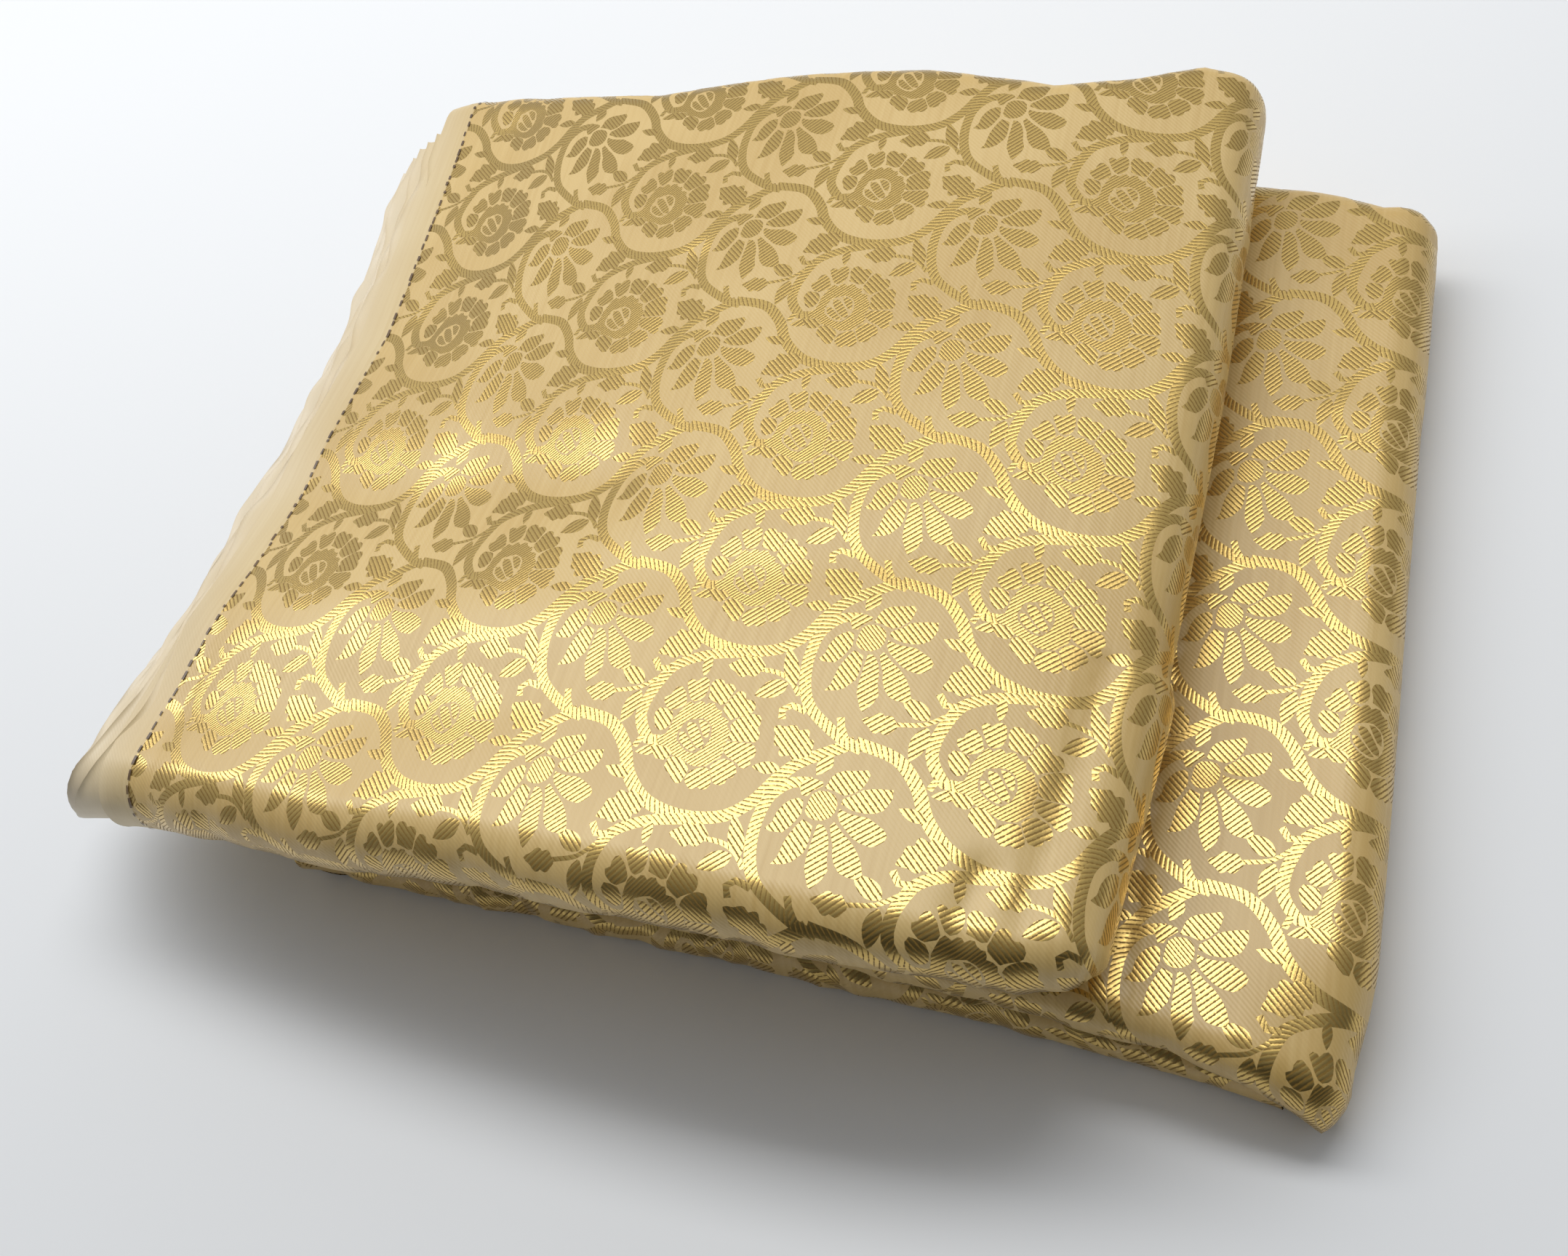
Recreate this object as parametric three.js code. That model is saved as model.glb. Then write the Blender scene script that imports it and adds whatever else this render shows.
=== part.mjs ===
// Brocade fabric: one dress length of silk brocade, folded for the shelf. Units are millimetres,
// +Z is up, +X runs along the weft from the selvedges to the right-hand folds, and +Y is the back.
// The length is first folded back and forth between the front and back edges, with its outer
// layer rolled round the others at the front. That pack is then folded in quarters across the
// loom width, as a Z with one more turn: two panels make the upper tier and two the lower one.
import * as THREE from 'three';

// The cloth as folded: a layer, the step from one layer to the next, and from panel to panel.
const sheetThick = 1.8;
const layerStep = 4.2;
const panelStep = 13;

// The plan of the folded length.
const upperRight = 306;       // outside of the upper tier's right-hand fold
const lowerRight = 352;       // outside of the lower tier's right-hand fold
const hiddenFoldLeft = 50;    // outside of the fold that lies under the upper tier
const upperSelvedge = 12;     // middle layer's selvedge on the upper tier
const lowerSelvedge = 66;     // middle layer's selvedge on the surface it rests on
const upperStagger = 20;      // each layer down, a selvedge stands this much further out
const lowerStagger = 6;
const staggerReach = 90;      // the selvedges fall back in line with each other over this width

// Front and back edges of the tiers along the width, at the outermost layer.
const edges = {
  upper: [
    { x: -10, front: -249, back: 17 },
    { x: 60, front: -256, back: 21 },
    { x: 140, front: -259, back: 19 },
    { x: 215, front: -266, back: 18 },
    { x: 306, front: -275, back: 1 },
  ],
  lower: [
    { x: 50, front: -243, back: 6 },
    { x: 150, front: -251, back: 8 },
    { x: 250, front: -263, back: 5 },
    { x: 310, front: -270, back: -1 },
    { x: 352, front: -277, back: -10 },
  ],
};

// The pile's height: it crowns over the middle, and the front and back rolls stand a little prouder.
const crownHeight = 72;
const crownX = 172.5;
const crownY = -103.5;
const crownReach = 127.5;     // from the crown to the shoulders
const fallRight = 23;
const fallRightPower = 2.35;
const fallLeft = 9.6;
const fallLeftPower = 1.74;
const rollRise = 4.5;
const rollReach = 152;
const shoulderRight = 300;
const shoulderLeft = 45;

// The upper tier's selvedges hang over the lower tier's hidden fold.
const droopFrom = 58;
const droopReach = 68;
const droop = 20;

// The front roll is drawn out forwards, and the turn inside the pack is a small one.
const frontRollDepth = 8;
const backTurnDepth = 3;
const innerEndInset = 16;     // the inmost layer ends this far behind the front

// How finely the cloth is faceted.
const stepsAcrossPanel = 11;
const stepsRoundFold = 7;
const stepsAlongLayer = 7;
const stepsRoundRoll = 6;
const stepsRoundTurn = 5;

const foldRadius = panelStep / 2;
const packHalf = layerStep + sheetThick / 2;
const foldOutside = foldRadius + packHalf;
const flatHeight = 3 * panelStep + 2 * packHalf;

// Line through a table's rows, held level past its ends.
function along(rows, x, column) {
  if (x <= rows[0].x) return rows[0][column];
  for (let i = 1; i < rows.length; i++) {
    const a = rows[i - 1];
    const b = rows[i];
    if (x <= b.x) return a[column] + (b[column] - a[column]) * (x - a.x) / (b.x - a.x);
  }
  return rows[rows.length - 1][column];
}

// Height of the pile over a point, before the selvedges hang down.
function pileHeight(x, y) {
  const held = THREE.MathUtils.clamp(x, shoulderLeft, shoulderRight);
  const away = Math.abs(held - crownX) / crownReach;
  const fall = held > crownX ? fallRight * away ** fallRightPower : fallLeft * away ** fallLeftPower;
  return crownHeight - fall + rollRise * ((y - crownY) / rollReach) ** 2;
}

// Middle line of the pack's one strip, from the cut end at the back of the top layer, round the
// front roll to the bottom layer, round the turn at the back to the middle layer. Each point has
// its share of the way from back to front, a distance in mm added to that, and its level.
function stripLine() {
  const line = [];
  const layer = (level, from, to, fromShift, toShift, steps) => {
    for (let i = 0; i < steps; i++) {
      const t = i / steps;
      line.push({ share: from + (to - from) * t, shift: fromShift + (toShift - fromShift) * t, level });
    }
  };
  const bend = (share, shift, depth, middle, radius, turn, steps) => {
    for (let i = 0; i < steps; i++) {
      const angle = Math.PI * i / steps;
      line.push({
        share,
        shift: shift - depth * Math.sin(angle) * turn,
        level: middle + radius * Math.cos(angle) * turn,
      });
    }
  };
  layer(layerStep, 0, 1, 0, frontRollDepth, stepsAlongLayer);
  bend(1, frontRollDepth, frontRollDepth, 0, layerStep, 1, stepsRoundRoll);
  layer(-layerStep, 1, 0, frontRollDepth, -backTurnDepth, stepsAlongLayer);
  bend(0, -backTurnDepth, backTurnDepth, -layerStep / 2, layerStep / 2, -1, stepsRoundTurn);
  layer(0, 0, 1, -backTurnDepth, innerEndInset, stepsAlongLayer);
  line.push({ share: 1, shift: innerEndInset, level: 0 });
  return line;
}

// Closed outline of the strip at one place across the width, as (y, level) points.
function stripOutline(line, front, back) {
  const middle = line.map((p) => new THREE.Vector2(back + (front - back) * p.share + p.shift, p.level));
  const side = (sign) => middle.map((p, i) => {
    const before = middle[Math.max(i - 1, 0)];
    const after = middle[Math.min(i + 1, middle.length - 1)];
    const run = new THREE.Vector2().subVectors(after, before).normalize();
    return new THREE.Vector2(p.x - sign * run.y * sheetThick / 2, p.y + sign * run.x * sheetThick / 2);
  });
  return [...side(1), ...side(-1).reverse()];
}

// Stations across the width, from the top selvedge to the bottom one: the middle of the pack,
// and the direction in which its top layer lies from there.
function stations() {
  const list = [];
  const panel = (number, from, to, steps) => {
    const up = number % 2 === 0 ? 1 : -1;
    const z = flatHeight - packHalf - number * panelStep;
    for (let i = 0; i <= steps; i++) {
      const x = from + (to - from) * i / steps;
      const gone = Math.abs(x - from);
      const left = Math.abs(to - x);
      list.push({ x, z, outX: 0, outZ: up, panel: number, gone, left });
    }
  };
  const fold = (after, x, right) => {
    const z = flatHeight - packHalf - (after + 0.5) * panelStep;
    const side = right ? 1 : -1;
    for (let i = 1; i < stepsRoundFold; i++) {
      const angle = Math.PI * i / stepsRoundFold;
      const dx = side * Math.sin(angle);
      const dz = Math.cos(angle);
      list.push({
        x: x + foldRadius * dx,
        z: z + foldRadius * dz,
        outX: side * dx,
        outZ: side * dz,
        panel: after + 0.5,
      });
    }
  };
  const upperFoldX = upperRight - foldOutside;
  const hiddenFoldX = hiddenFoldLeft + foldOutside;
  const lowerFoldX = lowerRight - foldOutside;
  panel(0, upperSelvedge, upperFoldX, stepsAcrossPanel);
  fold(0, upperFoldX, true);
  panel(1, upperFoldX, hiddenFoldX, stepsAcrossPanel - 2);
  fold(1, hiddenFoldX, false);
  panel(2, hiddenFoldX, lowerFoldX, stepsAcrossPanel);
  fold(2, lowerFoldX, true);
  panel(3, lowerFoldX, lowerSelvedge, stepsAcrossPanel - 2);
  return list;
}

// How far a layer's point moves sideways, so that the selvedges step outwards layer by layer.
function stagger(station, level) {
  const lie = level / layerStep;
  if (station.panel === 0) return upperStagger * lie * Math.max(0, 1 - station.gone / staggerReach);
  if (station.panel === 3) return -lowerStagger * lie * Math.max(0, 1 - station.left / staggerReach);
  return 0;
}

// A point of the flat-folded pack, laid on the real pile.
function laid(station, point) {
  const x = station.x + station.outX * point.y + stagger(station, point.y);
  const hang = station.panel === 0 ? droop * (Math.max(0, droopFrom - x) / droopReach) ** 2 : 0;
  const z = (station.z + station.outZ * point.y - hang) * pileHeight(x, point.x) / flatHeight;
  return [x, point.x, z];
}

// One closed skin through all stations, with a cap of the strip's own outline at each selvedge.
function foldedClothGeometry() {
  const line = stripLine();
  const across = stations();
  const corners = [];
  let firstOutline = null;
  for (const station of across) {
    const blend = THREE.MathUtils.clamp(station.panel - 0.5, 0, 1);
    const edge = (column) => THREE.MathUtils.lerp(
      along(edges.upper, station.x, column), along(edges.lower, station.x, column), blend);
    const outline = stripOutline(line, edge('front'), edge('back'));
    firstOutline ??= outline;
    for (const point of outline) corners.push(...laid(station, point));
  }
  const round = firstOutline.length;
  const faces = [];
  for (let i = 0; i + 1 < across.length; i++) {
    for (let j = 0; j < round; j++) {
      const a = i * round + j;
      const b = i * round + (j + 1) % round;
      faces.push(a, a + round, b, b, a + round, b + round);
    }
  }
  const last = (across.length - 1) * round;
  const follows = !THREE.ShapeUtils.isClockWise(firstOutline);
  for (const [a, b, c] of THREE.ShapeUtils.triangulateShape(firstOutline, [])) {
    if (follows) faces.push(a, b, c, last + a, last + c, last + b);
    else faces.push(a, c, b, last + a, last + b, last + c);
  }
  const geometry = new THREE.BufferGeometry();
  geometry.setAttribute('position', new THREE.Float32BufferAttribute(corners, 3));
  geometry.setIndex(faces);
  return geometry;
}

// The origin stands under the middle of the folded cloth.
function centredOnItsFoot(geometry) {
  geometry.computeBoundingBox();
  const { min, max } = geometry.boundingBox;
  geometry.translate(-(min.x + max.x) / 2, -(min.y + max.y) / 2, -min.z);
  geometry.computeVertexNormals();
  return geometry;
}

const brocade = new THREE.MeshStandardMaterial({ color: 0xd9bd7c, roughness: 0.45, metalness: 0.2 });
const cloth = new THREE.Mesh(centredOnItsFoot(foldedClothGeometry()), brocade);
cloth.name = 'folded_cloth';

const fabric = new THREE.Group();
fabric.add(cloth);

export default fabric;
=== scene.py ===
import bmesh
import bpy
import numpy as np
from mathutils import Matrix, Vector
from mathutils.geometry import delaunay_2d_cdt


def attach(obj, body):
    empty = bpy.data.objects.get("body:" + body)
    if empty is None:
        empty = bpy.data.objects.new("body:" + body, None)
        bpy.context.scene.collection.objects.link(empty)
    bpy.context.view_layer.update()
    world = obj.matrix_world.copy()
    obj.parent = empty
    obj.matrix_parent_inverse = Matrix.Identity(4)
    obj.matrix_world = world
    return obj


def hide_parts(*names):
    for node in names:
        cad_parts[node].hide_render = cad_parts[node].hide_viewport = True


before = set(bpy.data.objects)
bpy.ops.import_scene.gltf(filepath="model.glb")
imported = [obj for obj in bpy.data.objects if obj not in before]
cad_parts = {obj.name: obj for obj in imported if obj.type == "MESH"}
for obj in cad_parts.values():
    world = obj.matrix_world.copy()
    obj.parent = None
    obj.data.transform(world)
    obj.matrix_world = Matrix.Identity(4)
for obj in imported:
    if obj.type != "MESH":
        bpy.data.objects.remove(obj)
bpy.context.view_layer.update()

# The weaver's chart: one repeat of a flowering vine, with a round rose and a fanned lotus.
# Each figure is a float of gold thread, bound down in diagonal ribs that lean one way or the
# other, and the vines are bound like rope. Chart sizes are taken from the middle of the rose.
# A lean of 2 or -2 stands for finer ribs, and 0 for a place that stays plain ground.
repeat_width = 69.0
repeat_height = 45.1
rib_pitch = 1.14              # across the ribs, before it is rounded to fit the repeat
fine_ribs = 1.4               # times as many, in the rose's heart and the lotus hub
rope_pitch = 1.4              # along a vine
rope_slant = 0.8              # of the ribs on a vine, for each mm across it
chart_left = -51.0            # the repeat is cut here, between flowers
chart_front = -30.4
outline_step = 2.3            # between points on a vine's edge
ground_step = 2.85            # between loose points on the open ground
ground_clear = 0.45           # of that step is kept free round the outlines
weld_reach = 0.001            # points of the chart that are this near are one

vines = [
    {"thick": 3.1, "line": [(-33.8, 2.8), (-23.9, 0.4), (-17.9, -5.9), (-14.8, -12.3), (-9.5, -18.1),
                            (-3.2, -21.0), (4.1, -21.9), (11.7, -20.3), (17.0, -15.5), (19.7, -10.7),
                            (23.9, -4.8), (29.2, -1.2), (35.2, 2.8)]},
    {"thick": 2.8, "line": [(5.5, 23.0), (-4.1, 21.4), (-9.7, 19.3), (-13.1, 16.9), (-14.8, 13.8),
                            (-16.6, 8.3), (-16.9, 3.1), (-14.9, -0.9), (-12.8, -3.3), (-9.4, -3.4)]},
    {"thick": 2.7, "line": [(28.4, -9.0), (24.3, -9.6), (21.3, -12.3), (19.7, -15.4), (19.1, -19.4),
                            (19.1, -23.6), (19.7, -27.6), (20.9, -31.6), (23.2, -35.4), (27.8, -39.2),
                            (32.9, -42.4), (37.0, -43.9)]},
    {"thick": 1.7, "line": [(-13.8, 16.4), (-16.8, 16.3), (-18.6, 18.9)]},
    {"thick": 1.1, "line": [(-16.0, 13.6), (-20.0, 10.4), (-26.6, 9.0)]},
    {"thick": 1.2, "line": [(19.4, 12.8), (16.6, 16.4), (12.8, 18.2), (9.0, 18.5)]},
    {"thick": 1.7, "line": [(22.2, 8.8), (18.6, 9.9), (16.7, 8.5), (17.3, 6.0)]},
    {"thick": 1.7, "line": [(32.6, 3.4), (31.1, 6.2), (30.4, 8.6)]},
    {"thick": 1.5, "line": [(-14.4, -2.6), (-15.6, -5.6)]},
]
stalk_half = 0.35             # of a leaf's width where it joins the vine
leaves = [
    {"base": (-4.8, 20.8), "tip": (-4.6, 15.0), "wide": 2.4, "lean": 1},
    {"base": (-19.4, 11.8), "tip": (-26.2, 16.2), "wide": 4.4, "lean": -1},
    {"base": (-25.8, 8.4), "tip": (-33.8, 8.9), "wide": 5.4, "lean": 1, "lobes": 2},
    {"base": (-19.3, 9.6), "tip": (-21.3, 0.4), "wide": 4.0, "lean": 1},
    {"base": (9.4, 19.4), "tip": (0.4, 18.6), "wide": 6.2, "lean": -1, "lobes": 2},
    {"base": (16.0, 15.6), "tip": (9.1, 11.2), "wide": 4.8, "lean": 1},
    {"base": (17.6, 15.0), "tip": (13.6, 25.6), "wide": 3.7, "lean": -1},
    {"base": (26.0, -2.4), "tip": (16.2, 3.9), "wide": 8.0, "lean": -1, "lobes": 3},
    {"base": (31.0, -1.6), "tip": (28.9, -6.9), "wide": 3.4, "lean": 1},
    {"base": (20.3, -6.8), "tip": (14.0, -7.2), "wide": 3.2, "lean": -1},
    {"base": (-14.4, -13.3), "tip": (-20.8, -11.5), "wide": 3.0, "lean": -1},
    {"base": (-8.4, -18.7), "tip": (-18.4, -24.6), "wide": 8.0, "lean": -1, "lobes": 3},
    {"base": (-9.0, -5.4), "tip": (-14.8, -7.0), "wide": 2.8, "lean": 1},
]
chart_square = 0.307          # side of a chart square: the two flowers are charted in squares
heart_spread, petal_spread = 1.06, 1.09     # their floats spread past the charted outlines
rose_middle = (0.1, -0.2)
rose_petals = [               # outlines in squares from the middle of the rose
    {"lean": 1, "drawn": [(-26, 43), (-24, 45.5), (-21, 45), (-19.5, 43.5), (-17, 46.5), (-14, 48),
                          (-11.5, 47), (-10, 45), (-9, 40), (-9, 36), (-10, 32), (-12, 29.5),
                          (-16, 27.5), (-19, 29), (-21.5, 33), (-24, 38)]},
    {"lean": -1, "drawn": [(-6, 44), (-4, 47), (-1, 47.5), (2, 46.5), (3.7, 43.7), (7, 44.5), (10, 44),
                           (12.5, 41), (11.5, 37), (10, 32), (8.5, 28), (5, 27), (0, 29), (-5, 31),
                           (-5, 36), (-6.5, 40)]},
    {"lean": -1, "drawn": [(15, 36), (17, 38.5), (20, 38.5), (22.5, 37), (23.5, 33), (25.5, 32),
                           (28, 32.7), (31, 31), (32.5, 27), (31.5, 23), (29, 20.5), (25, 19),
                           (21, 17), (18, 15), (14, 18), (10.5, 21.5), (10, 25), (12, 29),
                           (13, 33)]},
    {"lean": -1, "drawn": [(25, 16), (30, 19), (34, 20), (38, 19.5), (40, 17), (40.5, 13), (39.5, 9),
                           (42, 6), (42.5, 1.5), (41, -1.5), (36, -2), (31, -2.5), (26, -3), (22, -2),
                           (21, 2), (21.5, 6), (20, 9), (22, 13)]},
    {"lean": 1, "drawn": [(22, -5.5), (27, -5.5), (33, -5), (39, -5), (42, -7), (44, -11), (43.5, -15),
                          (41.5, -17.5), (43, -21), (40, -24.5), (36, -24), (33, -21), (29, -19),
                          (25, -17), (22, -14), (20, -10)]},
    {"lean": 1, "drawn": [(17, -23.5), (23, -20.5), (30, -22.5), (33, -26), (34.5, -30), (33, -34),
                          (30, -35), (29, -39), (26, -41), (21.5, -40.5), (19, -37), (17, -33),
                          (15, -28)]},
    {"lean": 1, "drawn": [(1, -33.5), (6, -31), (11, -29.5), (14, -31.5), (16, -36), (18, -40), (18, -43),
                          (16, -46), (13, -47), (10, -45.3), (7, -47.5), (4, -47), (1, -44), (-1, -41),
                          (-0.5, -37)]},
    {"lean": -1, "drawn": [(-19.5, -25), (-15, -23.5), (-10, -25), (-5, -28.5), (-2.8, -32), (-2.8, -36),
                           (-4, -40), (-5, -43.5), (-9, -43.5), (-13, -40), (-15, -37), (-18, -35.5),
                           (-20.5, -32), (-20, -28)]},
    {"lean": -1, "drawn": [(-37, -16.5), (-32, -15), (-27, -15.5), (-22, -17), (-20, -20), (-21, -23.5),
                           (-24, -26), (-30, -25.5), (-34, -21)]},
    {"lean": -1, "drawn": [(-43.5, 13.5), (-41, 17.5), (-36, 17), (-31, 15), (-29, 10), (-29.5, 4),
                           (-32, 0.5), (-36, -1), (-40, 2), (-41.5, 6), (-43, 9)]},
    {"lean": 1, "drawn": [(-40, 28), (-36, 30), (-35.5, 33.5), (-33.5, 37), (-30.5, 38), (-28, 35.5),
                          (-25.5, 33), (-24, 29.5), (-22.5, 25), (-24, 21.5), (-28, 19.5), (-31, 18),
                          (-35, 19), (-37.5, 21.5), (-39.5, 24)]},
]
rose_heart = [(-26.5, 2), (-26, 9), (-23.5, 15), (-21, 21), (-18, 24.5), (-14, 22.5), (-11, 25.5),
              (-8, 25.5), (-6, 23), (-3, 25), (0.5, 25), (2, 22), (5, 20), (7.5, 20), (8.5, 17),
              (8, 14.5), (12, 14), (15, 12), (15, 8), (18, 4.5), (19, 0), (18.5, -5), (17, -9),
              (19, -13), (18, -18), (14, -21.5), (10, -26), (4, -27), (-1, -27), (-5, -25),
              (-9, -22.5), (-14, -21.5), (-18, -20), (-20, -15.5), (-25, -14), (-30, -13),
              (-33, -10), (-32, -6), (-28, -4)]
rose_bud = [(-17, 9), (-10, 11.5), (-4, 12.5), (2, 9.5), (5.5, 5), (7, -3), (5.5, -10), (2, -15.5),
            (-2, -18.5), (-8, -17.5), (-14, -13.5), (-19.5, -8), (-20.5, -2)]
bud_folds = [
    [(-15, 8), (-9, 7.5), (-5, 3), (-1, -3), (3, -9), (3, -13.5), (-2, -13), (-6, -9), (-10, -4),
     (-14, 2)],
    [(-19, -1.5), (-15, -1), (-10, -6), (-6, -10.5), (-1, -15.5), (-5, -16.5), (-11, -14), (-17, -8.5)],
    [(-7, 10.5), (-2, 10.5), (3, 7), (4.5, 2), (4.5, -4), (1, -3), (-3, 3)],
]
lotus_middle = (32.0, -14.2)
lotus_hub = [(-10.5, -6), (-10, 2), (-8.8, 8), (-4.8, 11.5), (1.2, 12), (6.2, 10.5), (9.5, 7), (10.7, 2),
             (10.5, -3), (8.2, -8), (3.2, -11.5), (-2.8, -12), (-7.8, -10)]
lotus_petals = [              # outlines in squares from the middle of the hub, and the stalk's end
    {"lean": -1, "drawn": [(-1.5, 14.5), (0, 19), (1.2, 24), (4, 28), (9, 31), (17, 32.5), (25, 34.5),
                           (27.5, 31), (26.5, 25), (24.5, 19.5), (19.5, 14), (13, 11), (6, 13.5)]},
    {"lean": -1, "drawn": [(13.5, 8), (16, 10), (21, 13.5), (25.5, 18), (31, 20), (38, 21.5), (46, 22.5),
                           (47, 16), (45.7, 11), (43, 5), (38, 1.5), (31, 0), (22, 0.5), (16, 3),
                           (13, 4)]},
    {"lean": 1, "drawn": [(13, 0), (20, -2.5), (27, -3), (34, -3), (40, -6), (47, -10), (50, -14),
                          (49, -19), (45, -23), (41, -25), (33, -23.5), (27, -20.5), (22, -16),
                          (16, -10.5), (13, -5)]},
    {"lean": 1, "drawn": [(12, -11), (16, -14.5), (20, -18.5), (24, -21.5), (29, -26), (34, -32),
                          (38, -39), (40.7, -47), (39, -51.5), (31, -51), (25, -49), (20, -43),
                          (17, -36), (15.7, -29), (12.5, -22), (10, -15)]},
    {"lean": 1, "drawn": [(1, -14.5), (5, -15), (8, -18), (10.7, -23), (12.8, -30), (14, -39), (17, -49),
                          (15, -56), (12, -61), (9, -65), (6.7, -63), (4, -57), (1, -50), (0.3, -42),
                          (0.3, -33), (0.6, -24)]},
    {"lean": -1, "drawn": [(-10, -13), (-6, -15), (-2.3, -17), (-1.6, -26), (-1.8, -34), (-3, -39),
                           (-6, -43), (-9, -47), (-14, -50), (-23, -51.5), (-20, -46), (-19, -38),
                           (-18, -31), (-16, -25), (-13.5, -19)]},
    {"lean": -1, "drawn": [(-13, -3), (-12.5, -9), (-15, -15), (-18, -21), (-22, -26), (-30, -26.5),
                           (-35, -25), (-31, -19), (-30, -11), (-27, -4), (-23, 0.5), (-18, 3),
                           (-14, 2)]},
    {"lean": 1, "drawn": [(-16, 5.5), (-12, 6), (-10, 10), (-6, 13.5), (-3, 16), (-4, 19), (-10, 20.5),
                          (-18, 19), (-19, 12)]},
]


def soft_line(points, step):
    """Points about a step apart on a soft curve through the charted ones."""
    charted = np.array(points, float)
    ends = np.vstack([2 * charted[0] - charted[1], charted, 2 * charted[-1] - charted[-2]])
    found = []
    for before, start, stop, after in zip(ends, ends[1:], ends[2:], ends[3:]):
        pieces = max(1, round(np.linalg.norm(stop - start) / step))
        for t in np.arange(pieces) / pieces:
            found.append(0.5 * (2 * start + (stop - before) * t
                                + (2 * before - 5 * start + 4 * stop - after) * t ** 2
                                + (3 * start - before - 3 * stop + after) * t ** 3))
    return np.array(found + [charted[-1]])


def vine_figure(vine):
    line = soft_line(vine["line"], outline_step)
    run = np.gradient(line, axis=0)
    run /= np.linalg.norm(run, axis=1)[:, None]
    side = np.column_stack([-run[:, 1], run[:, 0]]) * vine["thick"] / 2
    return {"outline": np.vstack([line + side, (line - side)[::-1]]), "line": line}


def leaf_figure(leaf):
    """A leaf that is fullest a little before its middle, with lobes where it has them."""
    base, tip = np.array(leaf["base"], float), np.array(leaf["tip"], float)
    lobes = leaf.get("lobes", 0)
    along = np.linspace(0, 1, 6 * lobes + 1 if lobes else 8)
    half = leaf["wide"] / 2 * np.sin(np.pi * along ** 0.8) ** 0.85
    if lobes:
        half *= 0.72 + 0.4 * np.abs(np.sin(np.pi * (lobes + 0.5) * along))
    half[0] = stalk_half
    run = tip - base
    across = np.array([-run[1], run[0]]) / np.linalg.norm(run)
    middle_line = base + run * along[:, None]
    left = middle_line + across * half[:, None]
    right = middle_line - across * half[:, None]
    return {"outline": np.vstack([left, right[-2::-1]]), "lean": leaf["lean"]}


def drawn_figure(drawn, middle, lean, spread=1.0):
    """A figure charted in squares; its floats may spread past its outline."""
    outline = np.array(drawn, float) * chart_square
    centre = outline.mean(axis=0)
    return {"outline": centre + (outline - centre) * spread + middle, "lean": lean}


def charted_figures():
    """Every figure of the repeat, in the order in which each covers the ones before it."""
    figures = [vine_figure(vine) for vine in vines]
    figures += [leaf_figure(leaf) for leaf in leaves]
    figures.append(drawn_figure(rose_heart, rose_middle, 2, heart_spread))
    figures.append(drawn_figure(rose_bud, rose_middle, 0))
    figures += [drawn_figure(fold, rose_middle, 1) for fold in bud_folds]
    figures += [drawn_figure(petal["drawn"], rose_middle, petal["lean"], petal_spread)
                for petal in rose_petals]
    figures += [drawn_figure(petal["drawn"], lotus_middle, petal["lean"]) for petal in lotus_petals]
    return figures + [drawn_figure(lotus_hub, lotus_middle, -2)]


def inside(points, outline):
    """Which points lie within a closed outline."""
    x, y = points[:, :1], points[:, 1:]
    ax, ay = outline.T
    bx, by = np.roll(outline, -1, axis=0).T
    rise = np.where(by == ay, 1e-12, by - ay)
    crosses = ((ay > y) != (by > y)) & (x < (bx - ax) * (y - ay) / rise + ax)
    return crosses.sum(axis=1) % 2 == 1


def rib_count(figure, points):
    """Which rib of a figure each point lies on, counted across the ribs."""
    if "line" in figure:
        line = figure["line"]
        start, run = line[:-1], np.diff(line, axis=0)
        length = np.linalg.norm(run, axis=1)
        away = points[:, None] - start
        share = np.clip((away * run).sum(2) / length ** 2, 0, 1)
        near = np.linalg.norm(away - share[..., None] * run, axis=2).argmin(axis=1)
        pick = np.arange(len(points))
        gone = np.concatenate([[0], np.cumsum(length)])
        along = gone[near] + share[pick, near] * length[near]
        across = (run[near, 0] * away[pick, near, 1] - run[near, 1] * away[pick, near, 0]) / length[near]
        return (along + rope_slant * across) / rope_pitch
    ribs = (fine_ribs if abs(figure["lean"]) == 2 else 1.0) * np.sqrt(0.5) / rib_pitch
    across = round(repeat_width * ribs) / repeat_width
    up = round(repeat_height * ribs) / repeat_height
    return points[:, 0] * across - np.sign(figure["lean"]) * points[:, 1] * up


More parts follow.
